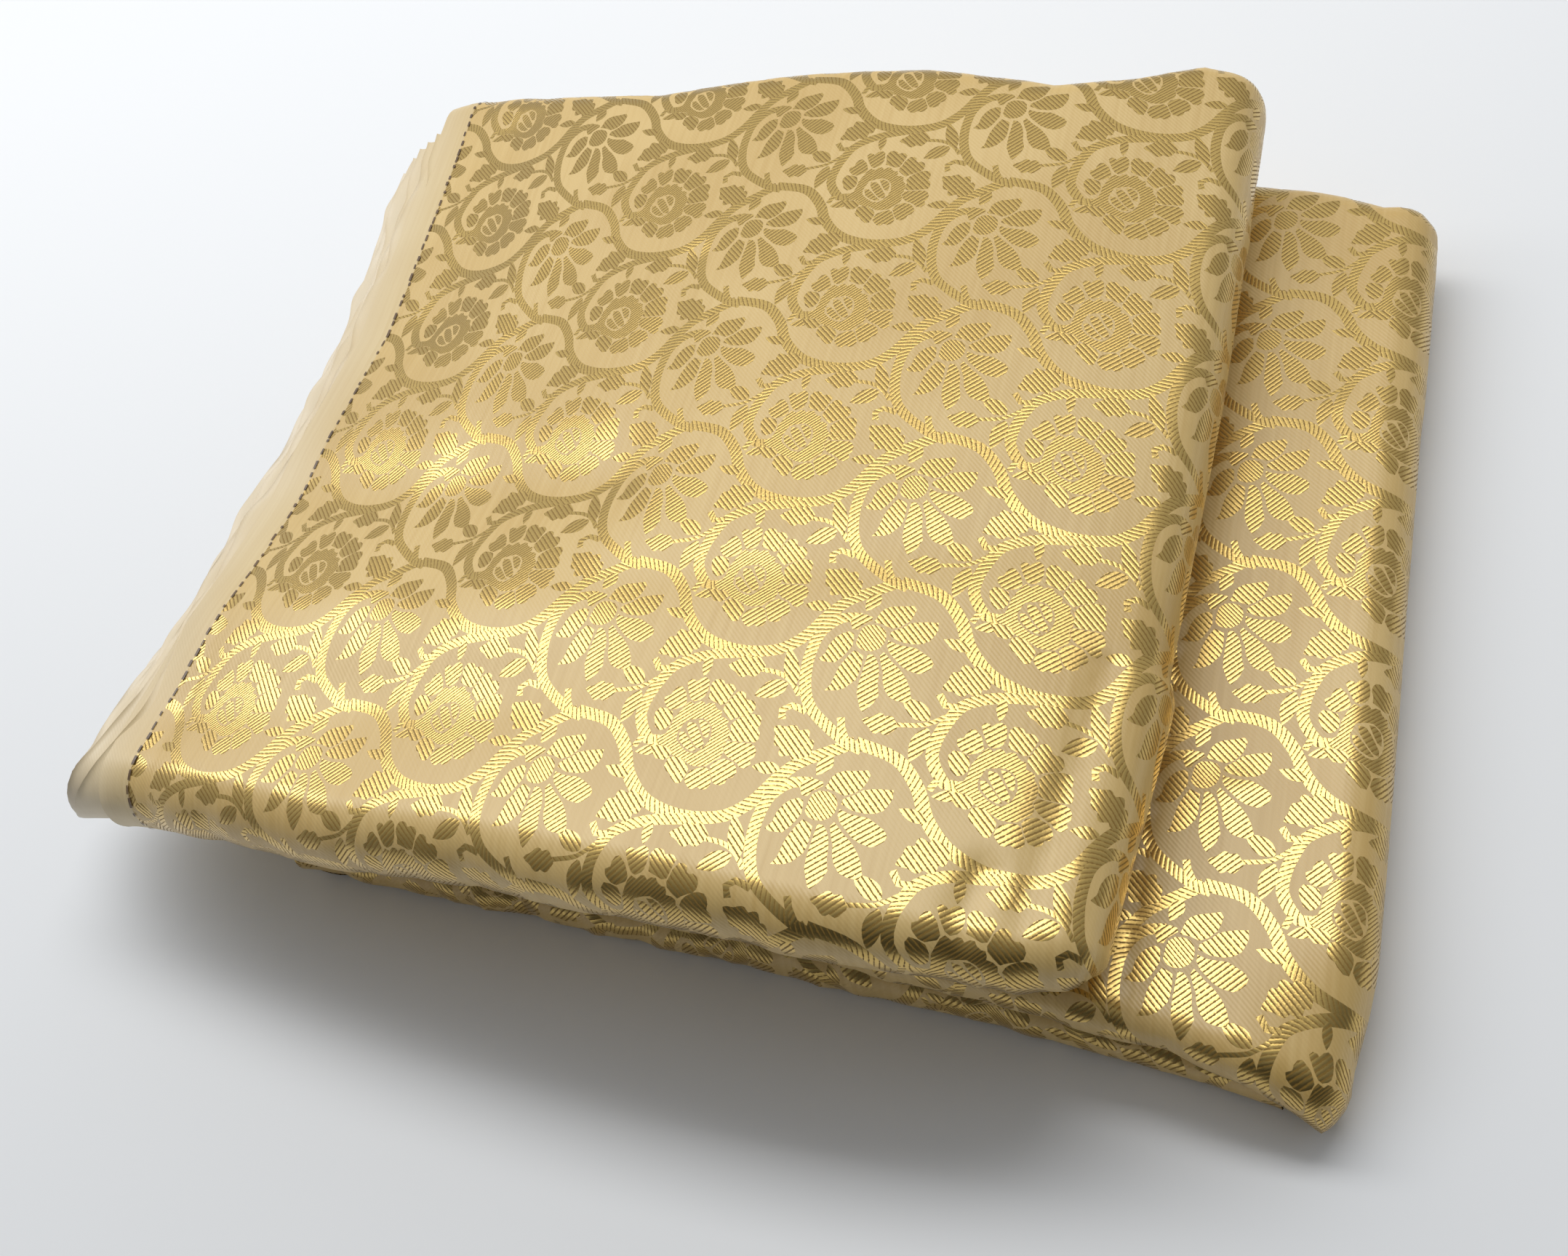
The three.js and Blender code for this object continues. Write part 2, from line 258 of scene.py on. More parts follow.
def charted_repeat():
    """The repeat as a flat mesh whose edges follow the figures' outlines. Its ribs map says which
    rib a place lies on, and whether that is on a vine."""
    corner = np.array([chart_left, chart_front])
    size = np.array([repeat_width, repeat_height])
    figures = []
    for figure in charted_figures():
        for across in (-1, 0, 1):
            for up in (-1, 0, 1):
                moved = {k: v + size * (across, up) if k in ("outline", "line") else v
                         for k, v in figure.items()}
                moved["home"] = figure
                moved["shift"] = size * (across, up)
                low, high = moved["outline"].min(0), moved["outline"].max(0)
                if (high > corner).all() and (low < corner + size).all():
                    figures.append(moved)
    points, edges = [], []
    for figure in figures:
        first = len(points)
        count = len(figure["outline"])
        points += list(figure["outline"])
        edges += [(first + i, first + (i + 1) % count) for i in range(count)]
    drawn = np.array(points)
    columns = round(repeat_width / ground_step)
    rows = round(repeat_height / ground_step)
    for i in range(columns + 1):
        for j in range(rows + 1):
            loose = corner + size * (i / columns, j / rows)
            edge = i in (0, columns) or j in (0, rows)
            if not edge:
                loose = loose + size * (0.5 / columns * (j % 2), 0)
            if edge or np.linalg.norm(drawn - loose, axis=1).min() > ground_clear * ground_step:
                points.append(loose)
    border = [corner, corner + (size[0], 0), corner + size, corner + (0, size[1])]
    first = len(points)
    points += border
    edges += [(first + i, first + (i + 1) % 4) for i in range(4)]
    cut = delaunay_2d_cdt([Vector(p) for p in points], edges, [], 0, weld_reach)
    flat = np.array([tuple(p) for p in cut[0]])
    faces = np.array([f for f in cut[2] if len(f) == 3])
    middle = flat[faces].mean(axis=1)
    kept = ((middle > corner) & (middle < corner + size)).all(axis=1)
    faces, middle = faces[kept], middle[kept]
    shape = np.full(len(faces), -1)
    for number, figure in enumerate(figures):
        shape[inside(middle, figure["outline"])] = number
    ribs = np.zeros((len(faces), 3, 2))
    gold = np.zeros(len(faces), bool)
    for number, figure in enumerate(figures):
        if figure.get("lean", 1) == 0:
            continue
        own = np.nonzero(shape == number)[0]
        gold[own] = True
        for corner_number in range(3):
            places = flat[faces[own, corner_number]] - figure["shift"]
            ribs[own, corner_number, 0] = rib_count(figure["home"], places)
            ribs[own, corner_number, 1] = "line" in figure
    used, faces = np.unique(faces, return_inverse=True)
    mesh = bpy.data.meshes.new("repeat")
    corners = np.column_stack([flat[used] * 0.001, np.zeros(len(used))])
    mesh.from_pydata(corners.tolist(), [], faces.reshape(-1, 3).tolist())
    layer = mesh.uv_layers.new(name="ribs")
    layer.data.foreach_set("uv", ribs.ravel())
    woven = mesh.attributes.new("gold", "BOOLEAN", "FACE")
    woven.data.foreach_set("value", gold)
    return mesh


# Weaving: the repeat is woven over and over along the length, and each layer of the folded cloth
# is laid from its own stretch of it. The ground is silk satin. The figures are gold thread, a
# metallised film wound round a core, so they turn from bright to brown with the light.
satin_colour = "#DFBF7B"
satin_shade_colour = "#D1AE66"
gold_colour = "#D2B267"
# the ground between the gold ribs, darker than the satin: painted shade in the grooves
shaded_gap_colour = "#8F6F2A"
twill_line_pitch = 0.9        # the real lines are about 0.3 mm apart, too fine to show
twill_slant = -0.7854         # half a right angle to the warp
twill_relief = 0.0002         # metres, with the uneven threads
streak_width = 1.4            # of slightly uneven warp threads
streak_length = 60.0
streak_tones = (0.62, 0.98)   # from the shade to the light colour
thread_pitch = 0.62           # of the binding dots along a rib
rib_height = 0.12
rib_edges = (0.05, 0.6)       # of a rib's swell, from the gap to the full gold
vine_packing = 0.2            # the ribs of a vine lie closer than those of a flower
satin_finish = {"Roughness": 0.42, "Specular IOR Level": 0.85, "Sheen Weight": 0.10,
                "Sheen Roughness": 0.4}
gold_finish = {"Roughness": 0.29, "Coat Weight": 0.5, "Coat Roughness": 0.3}
seam_reach = 2e-5             # metres: repeats are welded where they meet
loom_to_frame = np.array([-170.0, 127.75, 0.0])   # the frame's origin is under the pile's middle


def linear(colour):
    """An sRGB hex colour as linear red, green, blue and alpha."""
    levels = [int(colour[i:i + 2], 16) / 255 for i in (1, 3, 5)]
    return [v / 12.92 if v <= 0.04045 else ((v + 0.055) / 1.055) ** 2.4 for v in levels] + [1.0]


def add(tree, kind, settings=(), **links):
    """Adds a node with its settings; each link names an input by its label or its number."""
    node = tree.nodes.new(kind)
    for name, value in dict(settings).items():
        setattr(node, name, value)
    for name, value in links.items():
        place = int(name[1:]) if name[0] == "i" and name[1:].isdigit() else name.replace("_", " ")
        socket = node.inputs[place]
        if isinstance(value, bpy.types.NodeSocket):
            tree.links.new(value, socket)
        else:
            socket.default_value = value
    return node


def finished(tree, finish, **links):
    """Adds the surface's main shader, with the finish that the real thing has."""
    surface = add(tree, "ShaderNodeBsdfPrincipled", **links)
    for label, value in finish.items():
        surface.inputs[label].default_value = value
    return surface


def satin_material(name, light, shade, twill=1.0, outward=None, edge=0.0, reach=40.0):
    """Silk satin: long warp floats, so a soft sheen and faint streaks along the warp. The plain
    selvedge is thinner and lets the light through, and that light is painted: its colour turns paler
    outward from its edge."""
    material = bpy.data.materials.new(name)
    material.use_nodes = True
    tree = material.node_tree
    tree.nodes.clear()
    place = add(tree, "ShaderNodeUVMap", {"uv_map": "weave"}).outputs["UV"]
    streak = add(tree, "ShaderNodeMapping", Vector=place,
                 Scale=(1000 / streak_width, 1000 / streak_length, 1))
    uneven = add(tree, "ShaderNodeTexNoise", Vector=streak.outputs[0], Scale=1.0, Detail=3.0)
    cloud = add(tree, "ShaderNodeTexNoise", Vector=place, Scale=14.0, Detail=2.0)
    both = add(tree, "ShaderNodeMath", {"operation": "MULTIPLY_ADD"},
               i0=uneven.outputs["Fac"], i1=0.6, i2=cloud.outputs["Fac"])
    tone = add(tree, "ShaderNodeMapRange", Value=both.outputs[0], From_Min=streak_tones[0],
               From_Max=streak_tones[1])
    colour = add(tree, "ShaderNodeMix", {"data_type": "RGBA"}, Factor=tone.outputs[0],
                 i6=linear(shade), i7=linear(light))
    # painted light: outward from the pattern's edge the colour turns paler, for light let through the
    # thin selvedge
    if outward:
        apart = add(tree, "ShaderNodeSeparateXYZ", Vector=place)
        painted_through_light = add(tree, "ShaderNodeMapRange", Value=apart.outputs["X"],
                   From_Min=edge / 1000, From_Max=(edge - reach) / 1000)
        colour = add(tree, "ShaderNodeMix", {"data_type": "RGBA"}, Factor=painted_through_light.outputs[0],
                     i6=colour.outputs[2], i7=linear(outward))
    slant = add(tree, "ShaderNodeMapping", Vector=place, Rotation=(0, 0, twill_slant))
    lines = add(tree, "ShaderNodeTexWave", {"bands_direction": "X"}, Vector=slant.outputs[0],
                Scale=np.pi / 10 * 1000 / twill_line_pitch, Distortion=0.4,
                Detail=1.0, Detail_Scale=0.2)
    relief = add(tree, "ShaderNodeMath", {"operation": "MULTIPLY_ADD"},
                 i0=lines.outputs["Fac"], i1=0.5 * twill, i2=uneven.outputs["Fac"])
    bump = add(tree, "ShaderNodeBump", Height=relief.outputs[0], Strength=0.25, Distance=twill_relief)
    cloth = finished(tree, satin_finish, Base_Color=colour.outputs[2], IOR=1.5,
                     Normal=bump.outputs[0])
    cloth.inputs["Sheen Tint"].default_value = linear(light)
    add(tree, "ShaderNodeOutputMaterial", Surface=cloth.outputs[0])
    return material


def gold_thread_material(name):
    """Metallised film thread: bright ribs, and between them gaps that show the ground, drawn darker brown
    than the satin as painted shade in the grooves.
    """
    material = bpy.data.materials.new(name)
    material.use_nodes = True
    tree = material.node_tree
    tree.nodes.clear()
    count = add(tree, "ShaderNodeUVMap", {"uv_map": "ribs"})
    apart = add(tree, "ShaderNodeSeparateXYZ", Vector=count.outputs["UV"])
    turn = add(tree, "ShaderNodeMath", {"operation": "MULTIPLY"}, i0=apart.outputs["X"],
               i1=2 * np.pi)
    swell = add(tree, "ShaderNodeMath", {"operation": "SINE"}, i0=turn.outputs[0])
    place = add(tree, "ShaderNodeUVMap", {"uv_map": "weave"}).outputs["UV"]
    dots = add(tree, "ShaderNodeTexNoise", Vector=place, Scale=1000 / thread_pitch, Detail=1.0)
    rough = add(tree, "ShaderNodeMath", {"operation": "MULTIPLY_ADD"},
                i0=dots.outputs["Fac"], i1=1.6, i2=swell.outputs[0])
    packed = add(tree, "ShaderNodeMath", {"operation": "MULTIPLY_ADD"},
                 i0=apart.outputs["Y"], i1=vine_packing, i2=rough.outputs[0])
    rib = add(tree, "ShaderNodeMapRange", {"interpolation_type": "SMOOTHSTEP"},
              Value=packed.outputs[0], From_Min=rib_edges[0], From_Max=rib_edges[1])
    bump = add(tree, "ShaderNodeBump", Height=rough.outputs[0], Strength=0.12,
               Distance=rib_height / 1000)
    metal = finished(tree, gold_finish, Base_Color=linear(gold_colour), Metallic=1.0,
                     Normal=bump.outputs[0])
    # the gaps between the ribs: ground drawn darker brown, painted shade in the grooves
    shaded_gap = add(tree, "ShaderNodeBsdfPrincipled", Base_Color=linear(shaded_gap_colour), Roughness=0.6)
    surface = add(tree, "ShaderNodeMixShader", Fac=rib.outputs[0], i1=shaded_gap.outputs[0], i2=metal.outputs[0])
    add(tree, "ShaderNodeOutputMaterial", Surface=surface.outputs[0])
    return material


satin = satin_material("silk_satin_ground", satin_colour, satin_shade_colour)
gold_thread = gold_thread_material("gold_film_thread")
one_repeat = charted_repeat()


def loom_tree():
    """Repeats side by side, welded, with satin on the ground and gold on the figures."""
    tree = bpy.data.node_groups.new("loom", "GeometryNodeTree")
    face = tree.interface
    for label, kind in (("Repeat", "Geometry"), ("Columns", "Int"), ("Rows", "Int"),
                        ("Repeat Width", "Float"), ("Repeat Height", "Float"),
                        ("Ground", "Material"), ("Figure", "Material")):
        face.new_socket(label, in_out="INPUT", socket_type="NodeSocket" + kind)
    face.new_socket("Cloth", in_out="OUTPUT", socket_type="NodeSocketGeometry")
    given = add(tree, "NodeGroupInput").outputs
    spans = []
    for count, step in (("Columns", "Repeat Width"), ("Rows", "Repeat Height")):
        gaps = add(tree, "ShaderNodeMath", {"operation": "SUBTRACT"}, i0=given[count], i1=1.0)
        spans.append(add(tree, "ShaderNodeMath", {"operation": "MULTIPLY"},
                         i0=gaps.outputs[0], i1=given[step]).outputs[0])
    grid = add(tree, "GeometryNodeMeshGrid", Size_X=spans[0], Size_Y=spans[1],
               Vertices_X=given["Columns"], Vertices_Y=given["Rows"])
    laid = add(tree, "GeometryNodeInstanceOnPoints", Points=grid.outputs["Mesh"],
               Instance=given["Repeat"])
    real = add(tree, "GeometryNodeRealizeInstances", Geometry=laid.outputs[0])
    weld = add(tree, "GeometryNodeMergeByDistance", Geometry=real.outputs[0],
               Distance=seam_reach)
    ground = add(tree, "GeometryNodeSetMaterial", Geometry=weld.outputs[0], Material=given["Ground"])
    woven = add(tree, "GeometryNodeInputNamedAttribute", {"data_type": "BOOLEAN"}, Name="gold")
    figure = add(tree, "GeometryNodeSetMaterial", Geometry=ground.outputs[0],
                 Selection=woven.outputs["Attribute"], Material=given["Figure"])
    add(tree, "NodeGroupOutput", Cloth=figure.outputs[0])
    return tree


loom = loom_tree()


def made_by(tree, name, mesh, settings):
    """The plain mesh that a node tree makes from a mesh, with its inputs set by their names."""
    worker = bpy.data.objects.new(name, mesh)
    bpy.context.scene.collection.objects.link(worker)
    maker = worker.modifiers.new(tree.name, "NODES")
    maker.node_group = tree
    for socket in tree.interface.items_tree:
        if socket.in_out == "INPUT" and socket.name in settings:
            maker[socket.identifier] = settings[socket.name]
    made = bpy.data.meshes.new_from_object(
        worker.evaluated_get(bpy.context.evaluated_depsgraph_get()))
    bpy.data.objects.remove(worker)
    made.name = name
    return made


def woven_flat(name, left, right, front, back, shift=(0.0, 0.0)):
    """A flat piece of the cloth between four edges, with the pattern at its place on the loom."""
    first_column = int(np.floor((left - shift[0] - chart_left) / repeat_width))
    last_column = int(np.floor((right - shift[0] - chart_left) / repeat_width))
    first_row = int(np.floor((front - shift[1] - chart_front) / repeat_height))
    last_row = int(np.floor((back - shift[1] - chart_front) / repeat_height))
    settings = {"Columns": last_column - first_column + 1, "Rows": last_row - first_row + 1,
                "Repeat Width": repeat_width / 1000, "Repeat Height": repeat_height / 1000,
                "Ground": satin, "Figure": gold_thread}
    cloth = made_by(loom, name, one_repeat.copy(), settings)
    middle = ((first_column + last_column) / 2 * repeat_width + shift[0],
              (first_row + last_row) / 2 * repeat_height + shift[1])
    trim = bmesh.new()
    trim.from_mesh(cloth)
    bmesh.ops.translate(trim, verts=trim.verts, vec=(middle[0] / 1000, middle[1] / 1000, 0))
    for place, outward in (((left, 0), (-1, 0)), ((right, 0), (1, 0)),
                           ((0, front), (0, -1)), ((0, back), (0, 1))):
        bmesh.ops.bisect_plane(trim, geom=trim.verts[:] + trim.edges[:] + trim.faces[:], dist=1e-6,
                               plane_co=(place[0] / 1000, place[1] / 1000, 0),
                               plane_no=(*outward, 0), clear_outer=True)
    bmesh.ops.triangulate(trim, faces=[f for f in trim.faces if len(f.verts) > 3])
    trim.to_mesh(cloth)
    trim.free()
    return cloth


def flat_places(mesh):
    """The mesh's corners as flat loom sizes."""
    spots = np.zeros(len(mesh.vertices) * 3)
    mesh.vertices.foreach_get("co", spots)
    return spots.reshape(-1, 3)[:, :2] * 1000


def lay_cloth(mesh, surface, turned=False):
    """Lays a flat cloth mesh on a surface that takes flat places and gives points in space.
    A turned piece shows its face on the underside of that surface."""
    flat = flat_places(mesh)
    loops = np.zeros(len(mesh.loops), int)
    mesh.loops.foreach_get("vertex_index", loops)
    weave = mesh.uv_layers.new(name="weave")
    weave.data.foreach_set("uv", (flat[loops] / 1000).ravel())
    u, v = flat.T
    points = surface(u, v)
    reach = 0.3
    across = surface(u + reach, v) - surface(u - reach, v)
    up = surface(u, v + reach) - surface(u, v - reach)
    normals = np.cross(across, up)
    normals /= np.maximum(np.linalg.norm(normals, axis=1), 1e-9)[:, None]
    if turned:
        mesh.flip_normals()
        normals = -normals
    points = (points + loom_to_frame) / 1000
    mesh.vertices.foreach_set("co", points.ravel())
    mesh.update()
    mesh.polygons.foreach_set("use_smooth", [True] * len(mesh.polygons))
    mesh.normals_split_custom_set_from_vertices(normals.tolist())


# Upper tier: the outer layer of the length, rolled round the layers inside it at the front and
# the back, and folded down at the right. It crowns over the middle, and its left part lies in
# soft waves from the way the layers under it were pressed.
crown_height = 72.0
crown_x, crown_y, crown_reach = 172.5, -103.5, 127.5
shoulder_left, shoulder_right = 45, 300
fall_left, fall_left_power = 9.6, 1.74
fall_right, fall_right_power = 23.0, 2.35
back_hold = 0.32              # the right shoulder falls less towards the back,
back_hold_from, back_hold_to = -230, 5      # more and more over this stretch
roll_rise, roll_reach = 4.5, 152.0          # the front and back stand a little prouder
pattern_edge = 41.4           # the dashed thread, where the plain selvedge begins
upper_fold_rows = {"y": [-270, -200, -100, 0], "x": [291.5, 294.0, 296.0, 295.5]}
upper_fold_radius = 12.6
upper_left, upper_right = 29.0, 338.0
upper_front, upper_back = -304.0, 42.0
selvedge_hang, hang_from, hang_reach = 14.0, 58, 68     # the open left edge droops
front_roll_rows = {"x": [-10, 38, 113, 162, 202, 239, 270, 290, 305],
                   "start": [-239, -241, -250, -253, -256.5, -259.5, -259.5, -257, -255],
                   "radius": [13, 13, 12.5, 12, 11.5, 10.5, 9.5, 8.5, 8]}
back_roll_rows = {"x": [-10, 35, 69, 118, 157, 209, 248, 270, 288, 300],
                  "start": [17, 18, 11, 1.5, 2, -0.5, -8, -3.5, 4, 3],
                  "radius": [10, 10, 10, 10, 10, 10, 10, 10, 9, 7]}
creases = [                   # soft waves: where each runs, how far it spreads, and its rise
    {"line": [(92, -60), (92, -110), (91, -150), (88, -190)], "wide": 9, "rise": 0.6},
    {"line": [(112, -70), (112, -120), (110, -175), (104, -240)], "wide": 22, "rise": -1.5},
    {"line": [(155, -70), (153, -110), (156, -150)], "wide": 6, "rise": -0.5},
    {"line": [(40, -150), (90, -152), (150, -150)], "wide": 15, "rise": -1.6},
    {"line": [(40, -194), (90, -196), (150, -192)], "wide": 19, "rise": 2.2},
    {"line": [(45, -226), (100, -224), (150, -222)], "wide": 12, "rise": -0.8},
    {"line": [(60, 0), (68, -40), (66, -80)], "wide": 14, "rise": -1.8},
    {"line": [(150, -186), (210, -178), (270, -160)], "wide": 10, "rise": -0.5},
    {"line": [(284, -256), (287, -230), (291, -190)], "wide": 4, "rise": -0.9},
    {"line": [(272, -264), (275, -247)], "wide": 4, "rise": -1.3},
]
left_wave_rows = {"y": [-300, -225, -180, -135, -88, -38, 10],
                  "across": [-4.0, -3.5, 2.5, 3.5, 6.9, 1.6, -3.5],
                  "back": [0, 0, 0, 0, 1.0, 5.0, 8.0]}
left_waves_fade = (75, 130)   # the waves die away over this width
least_radius = 1.0            # of any roll or fold


def ease(value, low, high):
    """A soft step from 0 to 1 between two values."""
    t = np.clip((value - low) / (high - low), 0, 1)
    return t * t * (3 - 2 * t)


def pile_height(x, y):
    away = (np.clip(x, shoulder_left, shoulder_right) - crown_x) / crown_reach
    fall = np.where(away > 0, fall_right * np.abs(away) ** fall_right_power,
                    fall_left * np.abs(away) ** fall_left_power)
    fall *= 1 - back_hold * ease(y, back_hold_from, back_hold_to) * (away > 0)
    return crown_height - fall + roll_rise * ((y - crown_y) / roll_reach) ** 2


def selvedge_droop(x):
    """How far the open left edge hangs down from the pile."""
    return selvedge_hang * (np.maximum(0, hang_from - x) / hang_reach) ** 2


def crease_rise(x, y, rows):
    """How far the creases lift or lower the cloth at each place."""
    rise = np.zeros_like(x)
    for crease in rows:
        line = np.array(crease["line"], float)
        nearest = np.full(x.shape, 1e9)
        for start, stop in zip(line, line[1:]):
            run = stop - start
            share = np.clip(((x - start[0]) * run[0] + (y - start[1]) * run[1]) / (run @ run), 0, 1)
            nearest = np.minimum(nearest, np.hypot(x - start[0] - share * run[0],
                                                   y - start[1] - share * run[1]))
        rise += crease["rise"] * np.exp(-(nearest / crease["wide"]) ** 2)
    return rise


def rolled(x, y, top, fold_x, fold_radius, front, back):
    """Wraps a flat sheet over a slab: down its right-hand fold, its front and its back. Gives the
    points, the way out from the cloth, and how far each lies past the edge of the slab."""
    front_y = np.interp(x, front["x"], front["start"])
    back_y = np.interp(x, back["x"], back["start"])
    past_x = np.maximum(x - fold_x, 0)
    past_y = np.minimum(y - front_y, 0) + np.maximum(y - back_y, 0)
    gone = np.hypot(past_x, past_y)
    way_x = np.divide(past_x, gone, out=np.zeros_like(gone), where=gone > 0)
    way_y = np.divide(past_y, gone, out=np.zeros_like(gone), where=gone > 0)
    edge_x, edge_y = x - past_x, y - past_y
    near = 0.5
    slope = -((top(edge_x + near * way_x, edge_y + near * way_y)
               - top(edge_x - near * way_x, edge_y - near * way_y)) / (2 * near))
    lead = np.arctan(slope)
    front_radius = np.interp(x, front["x"], front["radius"])
    back_radius = np.interp(x, back["x"], back["radius"])
    radius = fold_radius * way_x ** 2 + np.where(past_y < 0, front_radius, back_radius) * way_y ** 2
    radius = np.maximum(radius, least_radius)
    turn = lead + gone / radius
    reach = radius * (np.sin(turn) - np.sin(lead))
    drop = radius * (np.cos(lead) - np.cos(turn))
    points = np.column_stack([edge_x + way_x * reach, edge_y + way_y * reach, top(edge_x, edge_y) - drop])
    outward = np.column_stack([way_x * np.sin(turn), way_y * np.sin(turn), np.cos(turn)])
    return points, outward, gone


def gathers(along, gone, seed, pitch, rise):
    """Small puckers across a roll, as uneven as hand folding leaves them. They fade in over the
    first stretch past the edge."""
    dice = np.random.default_rng(seed)
    count, first, fade = 60, -80, (2, 16)
    places = np.cumsum(dice.uniform(0.6, 1.5, count) * pitch) + first
    total = np.zeros_like(along)
    for place in places:
        wide, lift, lean = dice.uniform(2.5, 6.0), dice.uniform(-1, 1) * rise, dice.uniform(-0.4, 0.4)
        total += lift * np.exp(-((along - place - lean * gone) / wide) ** 2)
    return total * ease(gone, *fade)


def upper_surface(x, y, rise=0.0):
    """The upper tier's outer face, or a face that stands a little above it."""
    pull = 1 - ease(x, *left_waves_fade)
    rows = left_wave_rows
    x = x + pull * np.interp(y, rows["y"], rows["across"])
    y = y + pull * np.interp(y, rows["y"], rows["back"])

    def top(px, py):
        return pile_height(px, py) - selvedge_droop(px) + crease_rise(px, py, creases)
    fold_x = np.interp(y, upper_fold_rows["y"], upper_fold_rows["x"])
    points, outward, gone = rolled(x, y, top, fold_x, upper_fold_radius,
                                   front_roll_rows, back_roll_rows)
    lift = (gathers(x, gone, seed=3, pitch=12, rise=0.9)
            + 0.5 * gathers(y, gone, seed=4, pitch=20, rise=0.9) + rise)
    return points + outward * lift[:, None]


# the paler outward colour is painted light, for light let through the thin selvedge
selvedge_satin = satin_material("plain_silk_selvedge", "#E0C894", "#D4B87E", twill=0.4,
                                outward="#E6D8BE", edge=pattern_edge)
upper_mesh = woven_flat("upper_cloth", upper_left, upper_right, upper_front, upper_back)
cut = bmesh.new()
cut.from_mesh(upper_mesh)
bmesh.ops.bisect_plane(cut, geom=cut.verts[:] + cut.edges[:] + cut.faces[:], dist=1e-6,
                       plane_co=(pattern_edge / 1000, 0, 0), plane_no=(1, 0, 0))
for cloth_face in cut.faces:
    if cloth_face.calc_center_median().x < pattern_edge / 1000:
        cloth_face.material_index = len(upper_mesh.materials)
cut.to_mesh(upper_mesh)
cut.free()
upper_mesh.materials.append(selvedge_satin)
lay_cloth(upper_mesh, upper_surface)
upper_cloth = bpy.data.objects.new("upper_cloth", upper_mesh)
bpy.context.scene.collection.objects.link(upper_cloth)
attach(upper_cloth, "root")
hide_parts("folded_cloth")


# Lower tier: the next turn of the same length, seen to the right of the upper tier. It lies
# flat, and its right-hand fold and its front corner are full and round.
lower_shift = (3.0, -5.1)     # of the pattern, from where it stands on the upper tier
lower_left, lower_right = 62.0, 372.0
lower_front, lower_back = -296.0, 26.0
lower_fold_x = 340.4
lower_fold_radius = 11.4
lower_share = 23.2 / 49.2     # of the pile's height, without the upper tier's two packs
lower_floor = 0.4             # the least height of this cloth over the surface
corner_droop = 7              # the front right corner hangs down by this,
corner_droop_x, corner_droop_front = (322, 348), (235, 275)    # over this width and depth
lower_front_rows = {"x": [50, 150, 250, 310, 330, 345],
                    "start": [-235.5, -242.5, -251.5, -259, -263, -266],
                    "radius": [7.5, 8.5, 8, 6.2, 8, 11]}
lower_back_rows = {"x": [50, 150, 250, 297, 315, 326, 337, 345, 350],
                   "start": [-4, -2, -5, -8, -11.5, -15, -20, -20, -21],
                   "radius": [10, 10, 10, 10, 10, 10, 9, 8, 8]}
lower_creases = [
    {"line": [(322, -200), (330, -150), (331, -90)], "wide": 9, "rise": 0.5},
    {"line": [(335, -262), (322, -235), (318, -205)], "wide": 6, "rise": 0.6},
]


def lower_surface(x, y):
    def top(px, py):
        droop = corner_droop * ease(px, *corner_droop_x) * ease(-py, *corner_droop_front)
        return lower_share * pile_height(px, py) + crease_rise(px, py, lower_creases) - droop
    points, outward, gone = rolled(x, y, top, lower_fold_x, lower_fold_radius,
                                   lower_front_rows, lower_back_rows)
    lift = (gathers(x, gone, seed=8, pitch=11, rise=0.8)
            + 0.4 * gathers(y, gone, seed=9, pitch=22, rise=0.9))
    points = points + outward * lift[:, None]
    points[:, 2] = np.maximum(points[:, 2], lower_floor)
    return points


lower_mesh = woven_flat("lower_cloth", lower_left, lower_right, lower_front, lower_back, lower_shift)
lay_cloth(lower_mesh, lower_surface)
lower_cloth = bpy.data.objects.new("lower_cloth", lower_mesh)
bpy.context.scene.collection.objects.link(lower_cloth)
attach(lower_cloth, "root")
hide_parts("folded_cloth")


# Inner folds: where the length turns back between the tiers, its packs show as rolls at the
# front and the back, and as a rounded fold at the left, under the drooping selvedges.
turn_front = {"x": [45, 150, 215, 262, 290], "y": [-246, -251, -256, -257, -250], "seed": 21}
turn_back = {"x": [45, 150, 215, 262, 296], "y": [18, 7, 4, -2, 2], "seed": 22}
turn_left, turn_right = 60, 290
turn_width = 52.0
turn_floor_share = 0.475      # of the pile's height, where a roll begins
turn_under_top = 24.0         # a roll ends this far below the pile's top
turn_least, turn_depth = 2.4, 9.0
left_fold_x, left_fold_reach = 61.6, 11.6
left_fold_front, left_fold_back = -240, 8
left_fold_width = 60.0
left_fold_share = 0.236       # of the pile's height, from the fold's middle to its top


def edge_roll(rows, side):
    """A surface for a roll along the front (side -1) or the back (1), between the tiers."""
    def surface(x, v):
        y = np.interp(x, rows["x"], rows["y"])
        pile = pile_height(x, y)
        floor_z = pile * turn_floor_share
        top_z = np.maximum(pile - turn_under_top, floor_z + turn_least)
        half, middle = (top_z - floor_z) / 2, (top_z + floor_z) / 2
        depth = np.minimum(half, turn_depth)
        quarter = 1.5 * half
        phi = np.clip(v / quarter, -1, 1) * np.pi / 2
        tail = np.maximum(np.abs(v) - quarter, 0)
        swell = gathers(x, np.full_like(x, 20.0), rows["seed"], pitch=12, rise=1.1) * np.cos(phi)
        out = depth * np.cos(phi) - tail + swell
        return np.column_stack([x, y + side * (out - depth), middle + half * np.sin(phi)])
    return surface


def join_cloth(name, laid):
    """One piece from several laid meshes."""
    parts = []
    for mesh in laid:
        part = bpy.data.objects.new(mesh.name, mesh)
        bpy.context.scene.collection.objects.link(part)
        parts.append(part)
    with bpy.context.temp_override(active_object=parts[0], object=parts[0],
                                   selected_objects=parts, selected_editable_objects=parts):
        bpy.ops.object.join()
    parts[0].name = name
    return parts[0]


